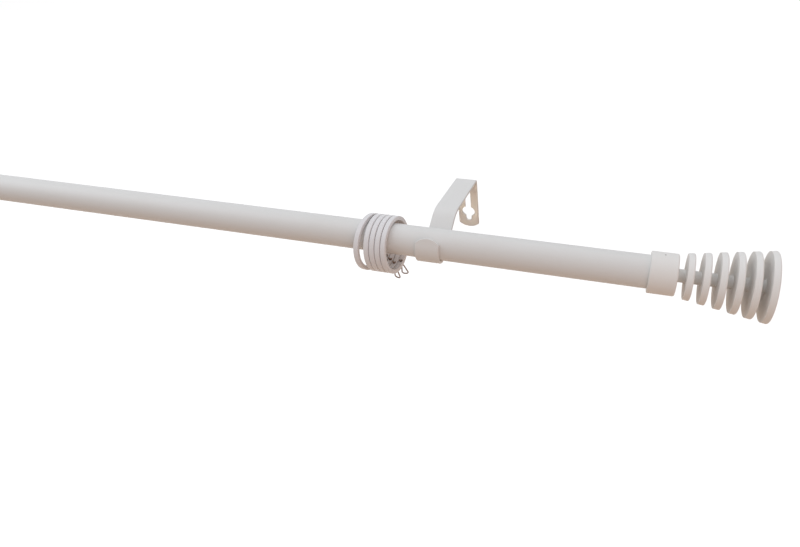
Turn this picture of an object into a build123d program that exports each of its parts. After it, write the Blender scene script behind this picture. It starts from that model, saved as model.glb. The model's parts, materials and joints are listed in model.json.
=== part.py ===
from build123d import *
import os
from math import cos, isclose, radians, sin, tan

# Extendable curtain rod on two folded-strip wall brackets, with five eyelet rings.
# Millimetres. +X runs along the rod to the right, +Y into the wall, +Z up.
# The origin is the wall screw of the right-hand bracket, at the wall's surface.

# Clearances
SEAT_CLEARANCE = 0.02      # pushed-in liner or plug in its tube
RUNNING_CLEARANCE = 0.08   # tube sliding in its bush, plug sliding in its tube
PUSH_CLEARANCE = 0.05      # finial socket over its tube
HOOK_CLEARANCE = 0.25      # bracket hook round the rod
RING_CLEARANCE = 0.3       # hanging ring over the top of the rod, and ring beside ring
EYELET_CLEARANCE = 0.1     # pair of wire legs in the ring's hole
TAIL_CLEARANCE = 0.3       # bent-over wire tails above the ring's inner face

# Tubes
OUTER_TUBE_OD = 19.0
OUTER_TUBE_WALL = 0.8
OUTER_TUBE_LENGTH = 700.0
INNER_TUBE_WALL = 0.8
DRAWN_OUT = 77.0           # inner tube in view between the outer tube's mouth and the finial
PUSHED_IN_GAP = 23.0       # from the inner tube's hidden end to the outer tube's, when shut

# Guide bush in the outer tube's mouth, guide plug in the inner tube's hidden end
BUSH_WALL = 0.6
BUSH_DEPTH = 25.0
BUSH_LIP_THICKNESS = 1.2
BUSH_LIP_HEIGHT = 0.4      # lip standing proud of the outer tube
PLUG_DEPTH = 12.0
PLUG_HEAD_THICKNESS = 4.0
PLUG_WALL = 1.4

# Finials
COLLAR_LENGTH = 14.5
COLLAR_WALL = 2.25
COLLAR_MOUTH_EDGE = 0.4
COLLAR_END_EDGE = 0.9
SOCKET_DEPTH = 11.5
SPINDLE_DIAMETER = 7.4
DISC_COUNT = 6
DISC_THICKNESS = 3.45
DISC_GAP = 4.42
DISC_EDGE = 0.8
CONE_RADIUS = 12.72        # cone of the rims, at the inner face of the first disc
CONE_ANGLE = 9.15          # slope of that cone against the rod

# Wall brackets
FINIAL_OVERHANG = 124.7    # right-hand bracket to the mouth of the right-hand finial
BRACKET_INSET = 47.0       # left-hand bracket to the mouth of the outer tube
ROD_PROJECTION = 85.0      # wall to rod axis
STRIP_WIDTH = 14.8
STRIP_THICKNESS = 1.8
STRIP_EDGE = 0.6           # rounding along both sides of the strip
STRIP_END_EDGE = 0.5       # rounding round both ends of the strip
STRIP_END_ROUNDING = 3.5   # height of the arc that ends the strip
HOOK_LIP_ANGLE = 33.0      # where the hook leaves the rod for its straight lip, above level
HOOK_LIP_LENGTH = 5.1
NECK_ANGLE = 17.0          # strip rising from under the rod to the crest
CREST_REACH = 31.6         # crest behind the rod axis
CREST_RADIUS = 18.0
ARM_ANGLE = 18.5           # arm falling from the crest to the wall
FOLD_RADIUS = 2.0
SCREW_BELOW_FOLD = 9.0
SLOT_WIDTH = 4.0
KEYHOLE_DIAMETER = 9.2
KEYHOLE_EDGE = 0.4         # rounding of the keyhole's rims
KEYHOLE_DROP = 20.0        # round hole below the screw's seat
NOTCH_DROP = 26.6          # foot of the slot below the screw's seat
PLATE_DROP = 34.6          # foot of the plate below the screw's seat

# Curtain rings
RING_OD = 36.0
RING_THICKNESS = 2.6
RING_WIDTH = 3.25
RING_EDGE = 0.45
RINGS_TO_BRACKET = 15.2    # first ring to the edge of the right-hand bracket
RING_LEAN = 5.5            # rings hang askew, their tops to the left
RING_TWIST = 4.2           # and their room sides to the left
LAST_RING_TWIST = 9.5      # the last ring is turned away from the bunch
RING_ROLLS = [5.0, -4.0, 5.0, 14.0, 5.0]        # rings rolled on the rod, feet to the wall

# Wire eyelets
WIRE_DIAMETER = 0.9
EYELET_LEG_GAP = 0.15
EYELET_WIDTH = 5.6
EYELET_LENGTH = 10.5       # ring's outer face to the foot of the loop
EYELET_NECK = 1.0          # straight legs below the ring
EYELET_CORNER = 1.6
EYELET_BEND = 0.7
EYELET_TAIL = 0.75
EYELET_TURNS = [98.0, 77.0, 92.0, 80.0, 95.0]   # loop planes, turned from across the rod

# Sizes that follow from those above
outer_bore = OUTER_TUBE_OD - 2 * OUTER_TUBE_WALL
bush_bore = outer_bore - 2 * (SEAT_CLEARANCE + BUSH_WALL)
inner_tube_od = bush_bore - 2 * RUNNING_CLEARANCE
inner_bore = inner_tube_od - 2 * INNER_TUBE_WALL
inner_tube_length = SOCKET_DEPTH + OUTER_TUBE_LENGTH - PUSHED_IN_GAP
socket_bore = OUTER_TUBE_OD + 2 * PUSH_CLEARANCE
ring_outer = RING_OD / 2
ring_inner = ring_outer - RING_THICKNESS
strip_mid_radius = OUTER_TUBE_OD / 2 + HOOK_CLEARANCE + STRIP_THICKNESS / 2
strip_end_radius = ((STRIP_WIDTH / 2) ** 2 + STRIP_END_ROUNDING**2) / (2 * STRIP_END_ROUNDING)

# The strip's middle line seen from the side, from the rod axis: y to the wall, z up
lip_y = -strip_mid_radius * cos(radians(HOOK_LIP_ANGLE))
lip_z = strip_mid_radius * sin(radians(HOOK_LIP_ANGLE))
tip_y = lip_y + HOOK_LIP_LENGTH * sin(radians(HOOK_LIP_ANGLE))
tip_z = lip_z + HOOK_LIP_LENGTH * cos(radians(HOOK_LIP_ANGLE))
neck_y = strip_mid_radius * sin(radians(NECK_ANGLE))
neck_z = -strip_mid_radius * cos(radians(NECK_ANGLE))
crest_z = neck_z + (CREST_REACH - neck_y) * tan(radians(NECK_ANGLE))
fold_y = ROD_PROJECTION - STRIP_THICKNESS / 2
fold_z = crest_z - (fold_y - CREST_REACH) * tan(radians(ARM_ANGLE))

# Places along the rod
outer_right = FINIAL_OVERHANG + SOCKET_DEPTH
outer_left = outer_right - OUTER_TUBE_LENGTH
left_mouth = outer_left - DRAWN_OUT
inner_left = left_mouth - SOCKET_DEPTH
inner_right = inner_left + inner_tube_length
left_bracket = outer_left + BRACKET_INSET

# Rod axis
axis_y = -ROD_PROJECTION
axis_z = SCREW_BELOW_FOLD - fold_z
ring_top = ring_inner * cos(radians(RING_LEAN)) - RING_WIDTH / 2 * sin(radians(RING_LEAN))
ring_z = axis_z + OUTER_TUBE_OD / 2 + RING_CLEARANCE - ring_top


def across(x):
    """Plane across the rod at x: its own x runs to the wall, its own y up."""
    return Plane(origin=(x, axis_y, axis_z), x_dir=(0, 1, 0), z_dir=(1, 0, 0))


def along(x, z, way=1):
    """Upright plane along the rod: its own x runs right (way 1) or left (way -1), its own y up."""
    return Plane(origin=(x, axis_y, z), x_dir=(way, 0, 0), z_dir=(0, -way, 0))


def finial(mouth, way):
    """Collar with a socket, spindle and spaced discs whose rims lie on one cone."""
    with BuildPart() as casting:
        with BuildSketch(along(mouth, axis_z, way)):
            with Locations((COLLAR_LENGTH / 2, (socket_bore / 2 + COLLAR_WALL) / 2)):
                collar = Rectangle(COLLAR_LENGTH, socket_bore / 2 + COLLAR_WALL)
            rims = collar.vertices().group_by(Axis.Y)[-1].sort_by(Axis.X)
            chamfer(rims[0], length=COLLAR_MOUTH_EDGE)
            fillet(rims[-1], radius=COLLAR_END_EDGE)
            with Locations((SOCKET_DEPTH / 2, socket_bore / 4)):
                Rectangle(SOCKET_DEPTH, socket_bore / 2, mode=Mode.SUBTRACT)
            pitch = DISC_THICKNESS + DISC_GAP
            spindle_end = COLLAR_LENGTH + DISC_COUNT * pitch - DISC_THICKNESS
            with Locations(((COLLAR_LENGTH + spindle_end) / 2, SPINDLE_DIAMETER / 4)):
                Rectangle(spindle_end - COLLAR_LENGTH, SPINDLE_DIAMETER / 2)
            for number in range(DISC_COUNT):
                near = COLLAR_LENGTH + DISC_GAP + number * pitch
                far = near + DISC_THICKNESS
                near_rim = CONE_RADIUS + number * pitch * tan(radians(CONE_ANGLE))
                far_rim = near_rim + DISC_THICKNESS * tan(radians(CONE_ANGLE))
                corners = [(near, 0), (far, 0), (far, far_rim), (near, near_rim)]
                disc = Polygon(*corners, align=None)
                fillet(disc.vertices().group_by(Axis.Y)[-1], radius=DISC_EDGE)
                fillet(disc.vertices().group_by(Axis.Y)[-2], radius=DISC_EDGE)
        revolve(axis=Axis((mouth, axis_y, axis_z), (1, 0, 0)))
    return casting.part


def folded_bracket(x):
    """One strip: hook under the rod, neck, crest, arm, acute fold and wall plate with a keyhole."""
    with BuildPart() as bracket:
        with BuildSketch(across(x)):
            with BuildLine():
                Line((tip_y, tip_z), (lip_y, lip_z))
                hook_start = 180 - HOOK_LIP_ANGLE
                hook_end = 270 + NECK_ANGLE
                CenterArc((0, 0), strip_mid_radius, hook_start, hook_end - hook_start)
                FilletPolyline(
                    (neck_y, neck_z),
                    (CREST_REACH, crest_z),
                    (fold_y, fold_z),
                    (fold_y, -PLATE_DROP - axis_z),
                    radius=[CREST_RADIUS, FOLD_RADIUS],
                )
            trace(line_width=STRIP_THICKNESS)
        extrude(amount=STRIP_WIDTH / 2, both=True)
        fillet(bracket.faces().filter_by(Axis.X).edges(), radius=STRIP_EDGE)
        wall_face = Plane(origin=(x, 0, 0), x_dir=(1, 0, 0), z_dir=(0, -1, 0))
        with BuildSketch(wall_face):
            with Locations((0, strip_end_radius - PLATE_DROP)):
                Rectangle(2 * STRIP_WIDTH, 2 * strip_end_radius, align=(Align.CENTER, Align.MAX))
                Circle(strip_end_radius, mode=Mode.SUBTRACT)
            with Locations((0, -KEYHOLE_DROP)):
                Circle(KEYHOLE_DIAMETER / 2)
            with Locations((0, -NOTCH_DROP / 2)):
                SlotCenterToCenter(NOTCH_DROP, SLOT_WIDTH, rotation=90)
        extrude(amount=2 * STRIP_THICKNESS, mode=Mode.SUBTRACT)
        lip_face = Plane(
            origin=(x, axis_y + tip_y, axis_z + tip_z), x_dir=(1, 0, 0), z_dir=(0, lip_y, lip_z))
        with BuildSketch(lip_face.offset(-2 * STRIP_THICKNESS)):
            with Locations((0, -strip_end_radius)):
                Rectangle(2 * STRIP_WIDTH, 2 * strip_end_radius, align=(Align.CENTER, Align.MIN))
                Circle(strip_end_radius, mode=Mode.SUBTRACT)
        extrude(amount=4 * STRIP_THICKNESS, mode=Mode.SUBTRACT)
        round_faces = bracket.faces().filter_by(GeomType.CYLINDER)
        ends = round_faces.filter_by(lambda face: isclose(face.radius, strip_end_radius))
        fillet(ends.edges(), radius=STRIP_END_EDGE)
        plate_faces = bracket.faces().filter_by(Plane.XZ)
        keyhole_rims = [rim for face in plate_faces for rim in face.inner_wires()]
        fillet([edge for rim in keyhole_rims for edge in rim.edges()], radius=KEYHOLE_EDGE)
    return bracket.part


def hung(x, twist):
    """Plane of a hung ring: its own x runs to the wall, its own y up, its own z along its axis."""
    turn = radians(twist)
    lean = radians(RING_LEAN)
    ring_axis = (cos(turn) * cos(lean), -sin(turn) * cos(lean), sin(lean))
    return Plane(origin=(x, axis_y, ring_z), x_dir=(sin(turn), cos(turn), 0), z_dir=ring_axis)


def foot_way(seat, roll):
    """Direction from the ring's middle to its eyelet, rolled to the wall from the ring's own down."""
    return seat.x_dir * sin(radians(roll)) - seat.y_dir * cos(radians(roll))


def curtain_ring(seat, roll):
    """Round-edged band with a hole at its foot for the eyelet's two legs."""
    with BuildPart() as ring:
        with BuildSketch(Plane(origin=seat.origin, x_dir=seat.z_dir, z_dir=-seat.x_dir)):
            with Locations((0, (ring_inner + ring_outer) / 2)):
                RectangleRounded(RING_WIDTH, RING_THICKNESS, RING_EDGE)
        revolve(axis=Axis(seat.origin, seat.z_dir))
        foot = Plane(origin=seat.origin, x_dir=seat.z_dir, z_dir=foot_way(seat, roll))
        with BuildSketch(foot.offset(ring_inner - RING_THICKNESS)):
            Circle(WIRE_DIAMETER + EYELET_LEG_GAP / 2 + EYELET_CLEARANCE)
        extrude(amount=3 * RING_THICKNESS, mode=Mode.SUBTRACT)
    return ring.part


def wire_eyelet(seat, roll, turn):
    """One wire: tail, leg through the ring, three-cornered loop, leg back and tail."""
    down = foot_way(seat, roll)
    tangent = down.cross(seat.z_dir)
    sideways = tangent * cos(radians(turn)) + seat.z_dir * sin(radians(turn))
    loop_plane = Plane(origin=seat.origin, x_dir=sideways, z_dir=sideways.cross(down))
    leg = (WIRE_DIAMETER + EYELET_LEG_GAP) / 2
    half = (EYELET_WIDTH - WIRE_DIAMETER) / 2
    tail_rise = (leg + EYELET_TAIL) ** 2 / (2 * ring_inner)
    tail_level = ring_inner - WIRE_DIAMETER / 2 - TAIL_CLEARANCE - tail_rise
    neck_level = ring_outer + EYELET_NECK
    foot_level = ring_outer + EYELET_LENGTH - WIRE_DIAMETER / 2
    right_side = [
        (half, foot_level),
        (leg, neck_level),
        (leg, tail_level),
        (leg + EYELET_TAIL, tail_level),
    ]
    left_side = [(-u, level) for u, level in reversed(right_side)]
    with BuildPart() as eyelet:
        with BuildLine(loop_plane) as wire:
            bends = [EYELET_BEND, EYELET_CORNER, EYELET_CORNER]
            FilletPolyline(*left_side, *right_side, radius=bends + bends[::-1])
        with BuildSketch(Plane(origin=wire.line @ 0, z_dir=wire.line % 0)):
            Circle(WIRE_DIAMETER / 2)
        sweep()
    return eyelet.part


def save(solid, name):
    """Label a finished piece and write it to its own file."""
    solid.label = name
    export_step(solid, f"parts/{name}.step")
    print(f"{name}: {solid.volume:.1f} mm3, {len(solid.solids())} solid")


os.makedirs("parts", exist_ok=True)

# Outer tube: seat of the rings, the brackets and the right-hand finial
with BuildPart() as outer_tube:
    with BuildSketch(across(outer_left)):
        Circle(OUTER_TUBE_OD / 2)
        Circle(outer_bore / 2, mode=Mode.SUBTRACT)
    extrude(amount=OUTER_TUBE_LENGTH)
save(outer_tube.part, "outer_tube")

# Inner tube: slides out to the left
with BuildPart() as inner_tube:
    with BuildSketch(across(inner_left)):
        Circle(inner_tube_od / 2)
        Circle(inner_bore / 2, mode=Mode.SUBTRACT)
    extrude(amount=inner_tube_length)
save(inner_tube.part, "inner_tube")

# Guide bush: liner in the outer tube's mouth, with a lip over the cut end
with BuildPart() as guide_bush:
    with BuildSketch(across(outer_left)):
        Circle(outer_bore / 2 - SEAT_CLEARANCE)
        Circle(bush_bore / 2, mode=Mode.SUBTRACT)
    extrude(amount=BUSH_DEPTH)
    with BuildSketch(across(outer_left)):
        Circle(OUTER_TUBE_OD / 2 + BUSH_LIP_HEIGHT)
        Circle(bush_bore / 2, mode=Mode.SUBTRACT)
    extrude(amount=-BUSH_LIP_THICKNESS)
    lip_rim = guide_bush.edges().filter_by(GeomType.CIRCLE).sort_by(SortBy.RADIUS)[-2:]
    fillet(lip_rim, radius=BUSH_LIP_THICKNESS / 4)
save(guide_bush.part, "guide_bush")

# Guide plug: hollow plug in the inner tube's hidden end, with a head that runs in the outer tube
with BuildPart() as guide_plug:
    with BuildSketch(across(inner_right)):
        Circle(inner_bore / 2 - SEAT_CLEARANCE)
    extrude(amount=-PLUG_DEPTH)
    with BuildSketch(across(inner_right)):
        Circle(outer_bore / 2 - RUNNING_CLEARANCE)
    extrude(amount=PLUG_HEAD_THICKNESS)
    head_rim = guide_plug.edges().filter_by(GeomType.CIRCLE).sort_by(Axis.X)[-1]
    chamfer(head_rim, length=PLUG_HEAD_THICKNESS / 4)
    with BuildSketch(across(inner_right - PLUG_DEPTH)):
        Circle(inner_bore / 2 - SEAT_CLEARANCE - PLUG_WALL)
    extrude(amount=PLUG_DEPTH, mode=Mode.SUBTRACT)
save(guide_plug.part, "guide_plug")

# Reducer sleeve: fills the left-hand finial's socket round the thinner tube
with BuildPart() as reducer_sleeve:
    with BuildSketch(across(left_mouth)):
        Circle(OUTER_TUBE_OD / 2)
        Circle(inner_tube_od / 2 + PUSH_CLEARANCE, mode=Mode.SUBTRACT)
    extrude(amount=-SOCKET_DEPTH)
save(reducer_sleeve.part, "reducer_sleeve")

# Finials and wall brackets, one of each at either end
save(finial(FINIAL_OVERHANG, 1), "finial_right")
save(finial(left_mouth, -1), "finial_left")
save(folded_bracket(0), "bracket_right")
save(folded_bracket(left_bracket), "bracket_left")

# Rings and their eyelets, numbered from the right-hand bracket
bunch_axis = hung(0, RING_TWIST).z_dir
ring_pitch = (RING_WIDTH + RING_CLEARANCE) / bunch_axis.X
first_ring = -STRIP_WIDTH / 2 - RINGS_TO_BRACKET - RING_WIDTH / 2
for number, (roll, turn) in enumerate(zip(RING_ROLLS, EYELET_TURNS), start=1):
    seat = hung(first_ring - (number - 1) * ring_pitch, RING_TWIST)
    if number == len(RING_ROLLS):
        swing_room = ring_outer * sin(radians(LAST_RING_TWIST - RING_TWIST))
        seat = hung(seat.origin.X - swing_room, LAST_RING_TWIST)
    save(curtain_ring(seat, roll), f"ring_{number}")
    save(wire_eyelet(seat, roll, turn), f"eyelet_{number}")
    down = foot_way(seat, roll)
    print(f"ring {number} at {seat.origin.X:.3f}, foot towards {down.X:.6f}, {down.Y:.6f}, {down.Z:.6f}")

print(f"rod axis {axis_y:.3f}, {axis_z:.3f}; ring centre {ring_z:.3f}")
print(f"outer tube {outer_left:.3f} to {outer_right:.3f}; inner tube {inner_left:.3f} to {inner_right:.3f}")
print(f"inner tube diameter {inner_tube_od:.3f}")
print(f"left bracket {left_bracket:.3f}; left mouth {left_mouth:.3f}")
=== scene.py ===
# %% [markdown]
# # An extendable curtain rod, white on white
# The rod is a steel tube with a thinner tube sliding in it, two wall brackets folded from strip,
# two cast finials and a bunch of rings. The solids come ready made, at their real size, so this
# lesson dresses them: finishes first, then the light, because white paint has no colour of its own
# to show and takes nearly all its look from what lights it.

# %% Load the frame
import json
from math import atan, degrees, pi, radians

import bmesh
import bpy
import numpy as np
from mathutils import Matrix, Vector


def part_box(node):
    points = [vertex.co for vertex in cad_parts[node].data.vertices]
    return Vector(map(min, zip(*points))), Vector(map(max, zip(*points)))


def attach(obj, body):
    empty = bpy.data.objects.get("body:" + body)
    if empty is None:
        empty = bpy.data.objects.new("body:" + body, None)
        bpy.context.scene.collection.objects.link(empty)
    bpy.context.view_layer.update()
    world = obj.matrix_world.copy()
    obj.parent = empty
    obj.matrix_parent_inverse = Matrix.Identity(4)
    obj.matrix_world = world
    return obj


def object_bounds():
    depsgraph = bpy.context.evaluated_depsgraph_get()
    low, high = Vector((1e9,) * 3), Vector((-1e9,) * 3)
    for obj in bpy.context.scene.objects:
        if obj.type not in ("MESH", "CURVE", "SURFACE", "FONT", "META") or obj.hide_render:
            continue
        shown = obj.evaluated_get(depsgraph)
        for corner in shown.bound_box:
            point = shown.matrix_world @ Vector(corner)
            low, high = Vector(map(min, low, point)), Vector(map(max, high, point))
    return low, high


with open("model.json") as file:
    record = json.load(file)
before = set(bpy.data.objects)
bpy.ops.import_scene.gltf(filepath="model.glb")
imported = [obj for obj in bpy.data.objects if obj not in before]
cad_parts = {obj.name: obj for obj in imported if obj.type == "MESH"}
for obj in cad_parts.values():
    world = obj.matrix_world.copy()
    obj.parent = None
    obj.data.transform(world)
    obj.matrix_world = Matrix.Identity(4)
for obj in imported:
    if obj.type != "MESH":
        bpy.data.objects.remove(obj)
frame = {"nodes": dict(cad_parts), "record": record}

MM = 0.001                     # metres in a millimetre
scene = bpy.context.scene
cad_low, cad_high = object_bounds()
print("solids reach", [round(v / MM) for v in cad_high - cad_low], "mm")

# %% [markdown]
# ## The camera
# The photograph was taken from above and a little to the right of the bracket, with the camera
# tipped to one side, so that the rod falls across the picture. A camera in Blender looks along its
# own -Z. Turning it by yaw, pitch and roll keeps those three facts readable, where a bare matrix
# would hide them.

# %% Set the camera
PICTURE_WIDTH = 800            # pixels
FOCAL_LENGTH = 691.1           # pixels, from the spread of the rod's width along its length
CAMERA_PLACE = Vector((106.3, -366.1, 319.1)) * MM
CAMERA_YAW = 24.93             # degrees, turned to the left from facing the wall
CAMERA_PITCH = 46.15           # degrees, looking down
CAMERA_ROLL = -10.25           # degrees, tipped clockwise
NEAREST_SEEN = 10 * MM

camera = bpy.data.objects.new("camera", bpy.data.cameras.new("camera"))
scene.collection.objects.link(camera)
scene.camera = camera
camera.data.lens = camera.data.sensor_width * FOCAL_LENGTH / PICTURE_WIDTH
camera.data.clip_start = NEAREST_SEEN
turn = Matrix.Rotation(radians(CAMERA_YAW), 4, "Z")
turn = turn @ Matrix.Rotation(radians(90 - CAMERA_PITCH), 4, "X")
turn = turn @ Matrix.Rotation(radians(CAMERA_ROLL), 4, "Z")
camera.matrix_world = Matrix.Translation(CAMERA_PLACE) @ turn
view_width = 2 * degrees(atan(PICTURE_WIDTH / 2 / FOCAL_LENGTH))
print(f"lens {camera.data.lens:.1f} mm, {view_width:.0f} degrees wide")

# %% [markdown]
# ## Tools for finishes
# A finish is a small network of shader nodes. A screen names a colour by its sRGB hex code, but a
# renderer adds up light, which needs linear values, so one helper converts them. Wiring nodes one by
# one takes several lines for each, so a second helper adds a node, sets it up and links what feeds
# it in a single call.

# %% Colours


def colour(code):
    """Linear red, green, blue and alpha of an sRGB hex code such as e4e3e1, by the sRGB curve."""
    srgb = np.array([int(code[i:i + 2], 16) for i in (0, 2, 4)]) / 255
    linear = np.where(srgb <= 0.04045, srgb / 12.92, ((srgb + 0.055) / 1.055) ** 2.4)
    return (*linear.tolist(), 1.0)


print("the grey 808080 returns", round(colour("808080")[0], 3), "of the light")

# %% Nodes and materials


def add(tree, kind, feeds, **settings):
    """Add a node. Feeds gives inputs by name or number: a value, or the output that feeds it."""
    node = tree.nodes.new("ShaderNode" + kind)
    for name, value in settings.items():
        setattr(node, name, value)
    for name, value in feeds.items():
        if isinstance(value, bpy.types.NodeSocket):
            tree.links.new(value, node.inputs[name])
        else:
            node.inputs[name].default_value = value
    return node


def new_material(name):
    """An empty material and its node tree."""
    material = bpy.data.materials.new(name)
    material.use_nodes = True
    material.node_tree.nodes.clear()
    return material, material.node_tree


def per_metre(size_mm):
    """Texture scale that repeats a pattern once in that many millimetres."""
    return 1 / (size_mm * MM)


print("a pattern of 2 mm has the scale", round(per_metre(2)))

# %% [markdown]
# ## Sprayed enamel
# The tubes, the finials, the brackets and the rings are metal under white stoving enamel. Sprayed
# paint never dries quite flat: it keeps a skin of shallow dimples, called orange peel, a few
# millimetres from crest to crest. The film is also a little thicker here and thinner there, which
# shifts its white by a hair. A picture of paint could be wrapped round each piece, but it would show
# a seam. Noise at a real size has none. The paint is a satin one, so its gloss is broad and weak.

# %% Enamel
DRIFT_MM = 45                  # from a thick patch of film to the next
PEEL_HEIGHT = 0.02 * MM        # a few times deeper than real, so that it shows
SATIN_SPREAD = 0.06            # how far the roughness strays from its mean
ENAMEL_IOR = 1.5
ENAMEL_SHINE = 0.35            # specular level, below the usual half because the paint is satin
PINHOLE_BARE = 0.25 * MM       # radius of the bare middle
PINHOLE_RIM = 0.55 * MM        # radius at which the film is whole
BARE_METAL = "8b847e"


def sprayed_enamel(name, thick, thin, peel_mm, roughness, pinhole=None):
    """White enamel: two near whites drift into each other, under a dimpled satin skin.

    The eye sees a white that is never quite even, with wide soft highlights. A pinhole is a point
    where a bubble broke the film and the grey metal shows.
    """
    material, tree = new_material(name)
    place = add(tree, "TexCoord", {}).outputs["Object"]
    drift = add(tree, "TexNoise", {"Vector": place, "Scale": per_metre(DRIFT_MM), "Detail": 3})
    whites = {"Factor": drift.outputs["Fac"], "A": colour(thick), "B": colour(thin)}
    shade = add(tree, "Mix", whites, data_type="RGBA").outputs["Result"]
    if pinhole is not None:
        away = add(tree, "VectorMath", {0: place, 1: pinhole}, operation="DISTANCE")
        hole = {"Value": away.outputs["Value"], "From Min": PINHOLE_BARE, "From Max": PINHOLE_RIM,
                "To Min": 1, "To Max": 0}
        bare = add(tree, "MapRange", hole).outputs["Result"]
        chipped = {"Factor": bare, "A": shade, "B": colour(BARE_METAL)}
        shade = add(tree, "Mix", chipped, data_type="RGBA").outputs["Result"]
    peel = add(tree, "TexNoise", {"Vector": place, "Scale": per_metre(peel_mm), "Detail": 2})
    dimples = peel.outputs["Fac"]
    satin = add(tree, "MapRange", {"Value": dimples, "To Min": roughness - SATIN_SPREAD,
                                   "To Max": roughness + SATIN_SPREAD})
    skin = add(tree, "Bump", {"Height": dimples, "Strength": 1, "Distance": PEEL_HEIGHT})
    paint = add(tree, "BsdfPrincipled", {
        "Base Color": shade, "Roughness": satin.outputs["Result"], "Normal": skin.outputs["Normal"],
        "IOR": ENAMEL_IOR, "Specular IOR Level": ENAMEL_SHINE})
    add(tree, "OutputMaterial", {"Surface": paint.outputs["BSDF"]})
    return material


print(f"enamel drifts over {DRIFT_MM} mm, its dimples are {PEEL_HEIGHT / MM:g} mm deep")

# %% [markdown]
# ## Four whites
# Pieces that are sprayed in separate batches never come out quite alike: here the castings are the
# whitest, the tubes are the greyest and the rings lean to violet. One white for all would make the
# rod look like a single lump. On top of the right-hand collar the film has a pinhole, which is part
# of that finish because it is too small to be worth a mesh.

# %% The four enamels
PINHOLE = Vector((131.76, -81.92, 39.43)) * MM
finishes = {
    "tube_enamel": sprayed_enamel("tube_stoved_enamel", "e5e5e4", "e1e0de",
                                  peel_mm=2.5, roughness=0.45),
    "finial_enamel": sprayed_enamel("finial_sprayed_enamel", "efeeec", "ebe9e6",
                                    peel_mm=2.0, roughness=0.5, pinhole=PINHOLE),
    "bracket_enamel": sprayed_enamel("bracket_sprayed_enamel", "e8e8e7", "e4e3e1",
                                     peel_mm=2.0, roughness=0.45),
    "ring_enamel": sprayed_enamel("ring_stoved_enamel", "e9e8ea", "e5e3e4",
                                  peel_mm=2.0, roughness=0.4),
}
print("enamels:", ", ".join(finish.name for finish in finishes.values()))

# %% [markdown]
# ## Galvanised wire
# The eyelets at the feet of the rings are bent from drawn steel wire with a coat of zinc. New zinc
# flashes, but it soon grows a dull bloom, grey here and brown there. Both colours are warmer than
# zinc: besides the bloom they hold a painted reflection of the warm glow from below. A clean metal
# shader would sparkle, so this one is only half metallic and half rough.

# %% Wire
BLOOM_MM = 1.5                 # a real bloom is finer: drawn this coarse, it shows on thin wire
# both wire colours carry a painted reflection of the warm glow from below, as well as the zinc's
# bloom
ZINC_GREY_AND_REFLECTED_GLOW = "a48f83"
ZINC_BROWN_AND_REFLECTED_GLOW = "877368"
WIRE_METALLIC = 0.5
WIRE_ROUGHNESS = 0.5


def galvanised_wire(name):
    """Dull zinc on drawn wire: to the eye a warm grey line with brown patches and no sparkle.

    The warm grey and brown are partly the zinc's bloom and partly a painted reflection of the glow
    from below.
    """
    material, tree = new_material(name)
    place = add(tree, "TexCoord", {}).outputs["Object"]
    bloom = add(tree, "TexNoise", {"Vector": place, "Scale": per_metre(BLOOM_MM), "Detail": 4})
    # grey and brown patches of bloom, both warmed by a painted reflection of the glow from below
    patches = {"Factor": bloom.outputs["Fac"], "A": colour(ZINC_GREY_AND_REFLECTED_GLOW), "B": colour(ZINC_BROWN_AND_REFLECTED_GLOW)}
    shade = add(tree, "Mix", patches, data_type="RGBA").outputs["Result"]
    metal = add(tree, "BsdfPrincipled", {"Base Color": shade, "Metallic": WIRE_METALLIC,
                                         "Roughness": WIRE_ROUGHNESS})
    add(tree, "OutputMaterial", {"Surface": metal.outputs["BSDF"]})
    return material


finishes["eyelet_wire"] = galvanised_wire("eyelet_galvanised_wire")
print("wire:", finishes["eyelet_wire"].name)

# %% [markdown]
# ## Moulded polyethylene
# The bush and the plug between the tubes, and the sleeve in the left-hand finial, are injection
# moulded in white polyethylene, which slides well on paint. The mould was cut by sparks, and its
# pitted walls print a fine grain on the plastic. As geometry such a grain would take millions of
# faces, so it is a bump.

# %% Polyethylene
GRAIN_MM = 0.6                 # real grain is about 0.1 mm: drawn coarser, so that it shows
GRAIN_HEIGHT = 0.01 * MM
FLOW_MM = 12                   # from one streak of the cooling melt to the next
POLYETHYLENE_ROUGHNESS = 0.5
POLYETHYLENE_IOR = 1.51


def moulded_polyethylene(name):
    """White polyethylene: to the eye it is waxy and creamy, with a fine grain and dull highlights."""
    material, tree = new_material(name)
    place = add(tree, "TexCoord", {}).outputs["Object"]
    grain = add(tree, "TexNoise", {"Vector": place, "Scale": per_metre(GRAIN_MM), "Detail": 2})
    skin = add(tree, "Bump", {"Height": grain.outputs["Fac"], "Strength": 1,
                              "Distance": GRAIN_HEIGHT})
    flow = add(tree, "TexNoise", {"Vector": place, "Scale": per_metre(FLOW_MM), "Detail": 2})
    creams = {"Factor": flow.outputs["Fac"], "A": colour("e6e5e1"), "B": colour("dcdad4")}
    shade = add(tree, "Mix", creams, data_type="RGBA").outputs["Result"]
    wax = add(tree, "BsdfPrincipled", {
        "Base Color": shade, "Roughness": POLYETHYLENE_ROUGHNESS, "Normal": skin.outputs["Normal"],
        "IOR": POLYETHYLENE_IOR})
    add(tree, "OutputMaterial", {"Surface": wax.outputs["BSDF"]})
    return material


finishes["guide_plastic"] = moulded_polyethylene("guide_moulded_polyethylene")
print("plastic:", finishes["guide_plastic"].name)

# %% [markdown]
# ## Dressing the solids
# The record says which finish each solid takes, by the name of a slot. Naming every solid here would
# work too, but reading the record keeps the two from drifting apart.

# %% Put the finishes on
slot_of = {part["node"]: part["material_slot"] for part in frame["record"]["subparts"]}
for name, node in frame["nodes"].items():
    node.data.materials.clear()
    node.data.materials.append(finishes[slot_of[name]])
print("finishes on", len(slot_of), "nodes")

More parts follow.
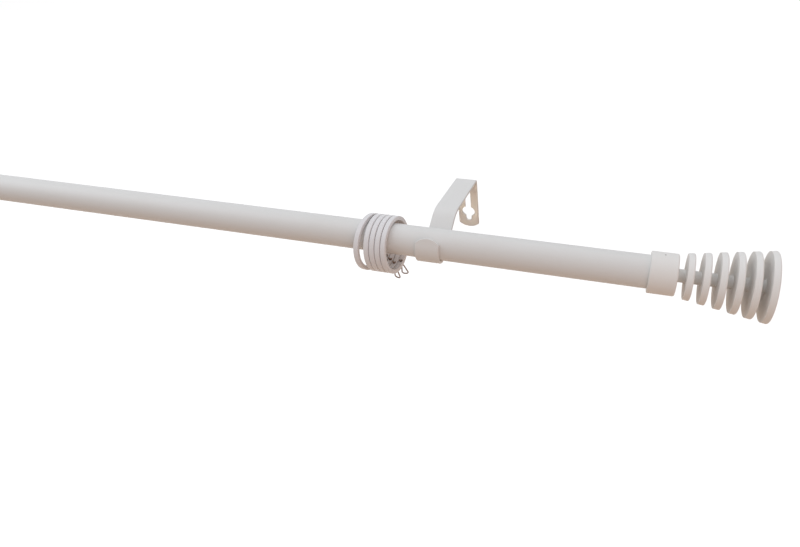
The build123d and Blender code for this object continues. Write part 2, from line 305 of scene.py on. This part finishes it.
# %% [markdown]
# ## Enamel in the corners
# Enamel sprayed on a casting creeps into its inner corners and dries there as a hollow fillet, so
# the spindle seems to grow out of the discs. The fillets could be modelled one by one with a bevel.
# They are all one small section turned about the rod, so one array of sections and one formula make
# them.

# %% From arrays to a piece
SHARP_ANGLE = 40               # degrees between two faces, from which their edge stays sharp


def new_piece(name, vertices, faces, body, slot):
    """A mesh object with faces pointing outwards, riding on a body and taking a slot's finish."""
    mesh = bpy.data.meshes.new(name)
    mesh.from_pydata(vertices.tolist(), [], faces)
    shell = bmesh.new()
    shell.from_mesh(mesh)
    bmesh.ops.recalc_face_normals(shell, faces=shell.faces)
    shell.to_mesh(mesh)
    shell.free()
    mesh.shade_smooth()
    mesh.set_sharp_from_angle(angle=radians(SHARP_ANGLE))
    mesh.materials.append(finishes[slot])
    piece = bpy.data.objects.new(name, mesh)
    scene.collection.objects.link(piece)
    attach(piece, body)
    print(name, len(mesh.polygons), "faces")


print("edges of", SHARP_ANGLE, "degrees and more stay sharp")

# %% Sections turned about the rod
TURN_STEPS = 96
rod_low, rod_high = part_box("outer_tube")
ROD_Y, ROD_Z = ((rod_low + rod_high) / 2).yz


def turned_about_rod(sections):
    """Closed sections carried round the rod.

    Each section is a loop of points (x, r). A point turned by the angle a lies at x along the rod,
    r cos a from its axis towards the wall and r sin a up from it.
    """
    angle = np.linspace(0, 2 * pi, TURN_STEPS, endpoint=False)
    x, r = sections[..., 0, None], sections[..., 1, None]
    y, z = ROD_Y + r * np.cos(angle), ROD_Z + r * np.sin(angle)
    grid = np.stack(np.broadcast_arrays(x, y, z), -1)
    index = np.arange(grid[..., 0].size).reshape(grid.shape[:3])
    along = np.roll(index, -1, 1)
    faces = np.stack([index, along, np.roll(along, -1, 2), np.roll(index, -1, 2)], -1)
    return grid.reshape(-1, 3), faces.reshape(-1, 4).tolist()


print(f"the rod's axis is {-ROD_Y / MM:.1f} mm from the wall and {ROD_Z / MM:.1f} mm up")

# %% Hollow fillets on the spindles
COLLAR_LENGTH = 14.5 * MM
DISC_COUNT = 6
DISC_THICKNESS = 3.45 * MM
DISC_GAP = 4.42 * MM
DISC_PITCH = DISC_THICKNESS + DISC_GAP
SPINDLE_RADIUS = 3.7 * MM
FILLET = 0.4 * MM
BURIED = 0.05 * MM             # how far a fillet's back reaches into the casting
BEND_STEPS = 7


def spindle_fillets(mouth, way):
    """Two sections for each gap of a finial: a hollow quarter circle, and a corner in the casting.

    At the angle b of the quarter circle, a point is the fillet's radius times 1 - sin b from the
    face beside the gap, and the same radius times 1 - cos b above the spindle.
    """
    bend = np.linspace(0, pi / 2, BEND_STEPS)
    reach = np.append(FILLET * (1 - np.sin(bend)), -BURIED)
    rise = SPINDLE_RADIUS + np.append(FILLET * (1 - np.cos(bend)), -BURIED)
    gap_start = COLLAR_LENGTH + DISC_PITCH * np.arange(DISC_COUNT)[:, None]
    from_mouth = np.concatenate([gap_start + reach, gap_start + DISC_GAP - reach])
    return np.stack(np.broadcast_arrays(mouth + way * from_mouth, rise), -1)


right_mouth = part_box("finial_right")[0].x
left_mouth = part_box("finial_left")[1].x
for name, mouth, way, body in (("spindle_fillets_right", right_mouth, 1, "rod"),
                               ("spindle_fillets_left", left_mouth, -1, "extension")):
    vertices, faces = turned_about_rod(spindle_fillets(mouth, way))
    new_piece(name, vertices, faces, body, "finial_enamel")

# %% [markdown]
# ## A nib of enamel
# Between the second and the third disc hangs a nib: a drop of enamel that ran down the spindle and
# set before it fell. A squashed ball would look stuck on. A drop swells downwards, so its width is a
# sine along its length, weighted to the lower end.

# %% Nib on the right-hand spindle
NIB_PLACE = np.array([158.6, -88.5, 28.2]) * MM
NIB_LENGTH = 1.9 * MM
NIB_WIDTH = 1.1 * MM


def hanging_drop(place, length, width, rows=13, columns=20):
    """A drop about a point, with v from its top to its foot and u round it.

    Height is half the length times cos v. Half width is half the width times sin v, times one less
    a third of cos v, so it is widest below its middle. A single point closes each end.
    """
    v = np.linspace(0, pi, rows)[1:-1, None]
    u = np.linspace(0, 2 * pi, columns, endpoint=False)
    half = width / 2 * np.sin(v) * (1 - np.cos(v) / 3)
    height = length / 2 * np.cos(v)
    rings = np.stack(np.broadcast_arrays(half * np.cos(u), half * np.sin(u), height), -1)
    ends = np.array([(0, 0, length / 2), (0, 0, -length / 2)])
    vertices = place + np.concatenate([rings.reshape(-1, 3), ends])
    index = np.arange(rings[..., 0].size).reshape(rows - 2, columns)
    after = np.roll(index, -1, 1)
    walls = np.stack([index[:-1], index[1:], after[1:], after[:-1]], -1).reshape(-1, 4).tolist()
    top = np.stack([index[0], after[0], np.full(columns, index.size)], -1).tolist()
    foot = np.stack([index[-1], after[-1], np.full(columns, index.size + 1)], -1).tolist()
    return vertices, walls + top + foot


vertices, faces = hanging_drop(NIB_PLACE, NIB_LENGTH, NIB_WIDTH)
new_piece("spindle_nib", vertices, faces, "rod", "finial_enamel")

# %% [markdown]
# ## Floor
# The photograph shows the rod on pure white, and yet its underside is warm, as if a wooden floor
# threw a glow back at it. One sheet can do both, because Light Path tells who is looking: the camera
# and reflections find pale paper that keeps the rod's shadow, and light that only bounces finds a
# warm brown. Far out the paper fades to plain white, so that no edge shows from the side.

# %% Floor sheet
FLOOR_DROP = 0.45              # metres below the lowest solid
FLOOR_SIDE = 8.0               # metres
floor_z = cad_low.z - FLOOR_DROP
rod_centre = (cad_low + cad_high) / 2
corners = np.array([(-1, -1, 0), (1, -1, 0), (1, 1, 0), (-1, 1, 0)]) * FLOOR_SIDE / 2
corners = corners + (rod_centre.x, rod_centre.y, floor_z)
floor_mesh = bpy.data.meshes.new("floor")
floor_mesh.from_pydata(corners.tolist(), [], [(0, 1, 2, 3)])
floor = bpy.data.objects.new("floor", floor_mesh)
scene.collection.objects.link(floor)
print(f"floor {FLOOR_SIDE:g} m wide, {-floor_z:.2f} m below the bracket's screw")

# %% Who is looking


def seen_directly(tree):
    """One where the camera, a reflection or a clear material looks, nought where light bounces."""
    path = add(tree, "LightPath", {}).outputs
    seen = add(tree, "Math", {0: path["Is Camera Ray"], 1: path["Is Glossy Ray"]},
               operation="MAXIMUM")
    seen = add(tree, "Math", {0: seen.outputs[0], 1: path["Is Transmission Ray"]},
               operation="MAXIMUM")
    return seen.outputs[0]


WHITE = colour("ffffff")
print("white in linear light is", WHITE[:3])

# %% Floor paper
FADE_START = 1.2               # metres from the bracket's screw, where the paper starts to turn white
FADE_END = 3.6                 # metres, where nothing but white is left
PAPER = "bcbcbc"
PAPER_LIFT = 0.73              # light of its own, which brings the lit paper up to white
WOOD_GLOW = "c9a176"

material, tree = new_material("floor_paper")
warm = add(tree, "BsdfDiffuse", {"Color": colour(WOOD_GLOW)})
sheet = add(tree, "BsdfDiffuse", {"Color": colour(PAPER)})
lift = add(tree, "Emission", {"Color": WHITE, "Strength": PAPER_LIFT})
pale = add(tree, "AddShader", {0: sheet.outputs[0], 1: lift.outputs[0]})
place = add(tree, "TexCoord", {}).outputs["Object"]
away = add(tree, "VectorMath", {0: place}, operation="LENGTH").outputs["Value"]
fade = add(tree, "MapRange", {"Value": away, "From Min": FADE_START, "From Max": FADE_END})
haze = add(tree, "Emission", {"Color": WHITE, "Strength": 1})
far = add(tree, "MixShader", {0: fade.outputs["Result"], 1: pale.outputs[0], 2: haze.outputs[0]})
paper = add(tree, "MixShader", {0: seen_directly(tree), 1: warm.outputs[0], 2: far.outputs[0]})
add(tree, "OutputMaterial", {"Surface": paper.outputs[0]})
# The paper's own light is for the eye only: left out of the search for lamps, it adds no grain
material.cycles.emission_sampling = "NONE"
floor_mesh.materials.append(material)
print("paper fades to white from", FADE_START, "to", FADE_END, "m")

# %% [markdown]
# ## The air round the rod
# Past the floor lies the world. It would do as one white dome, but a dome as bright as the white
# background floods every hollow with light. So the world is split like the floor: white where it is
# looked at, and a much weaker glow where it only lights the rod.

# %% World
GLOW = "fffcfb"
GLOW_STRENGTH = 0.38

world = bpy.data.worlds.new("studio")
scene.world = world
world.use_nodes = True
tree = world.node_tree
tree.nodes.clear()
glow = add(tree, "Background", {"Color": colour(GLOW), "Strength": GLOW_STRENGTH})
backdrop = add(tree, "Background", {"Color": WHITE, "Strength": 1})
air = add(tree, "MixShader", {0: seen_directly(tree), 1: glow.outputs[0], 2: backdrop.outputs[0]})
add(tree, "OutputWorld", {"Surface": air.outputs[0]})
print("glow of", GLOW_STRENGTH, "round the rod")

# %% [markdown]
# ## Lamps
# The tube is brightest on top, warmer towards its foot, and no shadow on it has a hard edge. Four
# large square lamps give that: cool daylight from overhead, from behind and from the left, and a
# warm lamp low on the right in front, for the rims of the discs. Small lamps would draw a bright
# line along the tube, which satin paint in a room doesn't show.

# %% Soft lamps
DAYLIGHT = "f1f8ff"
WARM_ROOM = "ffe2d8"
LAMPS_MEET = Vector((-150, -60, 20)) * MM      # the point they face, a hand to the left of the rings
LAMP_DISTANCE = 1.7            # metres
LAMP_SIDE = 1.4                # metres
WIDE_OPEN = 180                # degrees


def softbox(name, middle, way, distance, side, watts, tint, beam=WIDE_OPEN):
    """A square lamp that faces a point from that way and that far off, unseen by the camera."""
    data = bpy.data.lights.new(name, "AREA")
    data.size = side
    data.energy = watts
    data.spread = radians(beam)
    data.color = colour(tint)[:3]
    lamp = bpy.data.objects.new(name, data)
    scene.collection.objects.link(lamp)
    lamp.location = middle + Vector(way).normalized() * distance
    lamp.rotation_euler = (middle - lamp.location).to_track_quat("-Z", "Y").to_euler()
    lamp.visible_camera = False
    print(name, watts, "watts")


for name, way, watts, tint in (("overhead", (0, 0, 1), 2.8, DAYLIGHT),
                               ("behind", (0, 1, 1), 7.3, DAYLIGHT),
                               ("left", (-1, 0, 1), 9.8, DAYLIGHT),
                               ("right_front", (0.7, -0.75, 0.45), 6.0, WARM_ROOM)):
    softbox(name, LAMPS_MEET, way, LAMP_DISTANCE, LAMP_SIDE, watts, tint)

# %% [markdown]
# ## A card under the arm
# The bracket's wall plate lies in the shade of its own arm, where the large lamps hardly reach. More
# light all round would flatten the rest. In a studio a small card is held there to throw some light
# back. Here the card is a tiny lamp with a narrow beam, so that it warms the middle of the plate and
# touches little else.

# %% Card
WARM_FLOOR = "fff1cf"
PLATE_MIDDLE = Vector((0, 0, -11)) * MM
CARD_WAY = (0.1, -0.6, -0.7)
CARD_DISTANCE = 0.13           # metres
CARD_SIDE = 0.02               # metres
CARD_WATTS = 0.0007
CARD_BEAM = 20                 # degrees
softbox("card_under_arm", PLATE_MIDDLE, CARD_WAY, CARD_DISTANCE, CARD_SIDE, CARD_WATTS, WARM_FLOOR,
        beam=CARD_BEAM)

# %% [markdown]
# ## The view of colour
# Paint adds nothing to a rod that a ruler would find, so the dressed rod should fill the same box as
# the bare solids. The Standard view shows colours as they were written, where a film-like view would
# bend the whites.

# %% Colour view
scene.view_settings.view_transform = "Standard"
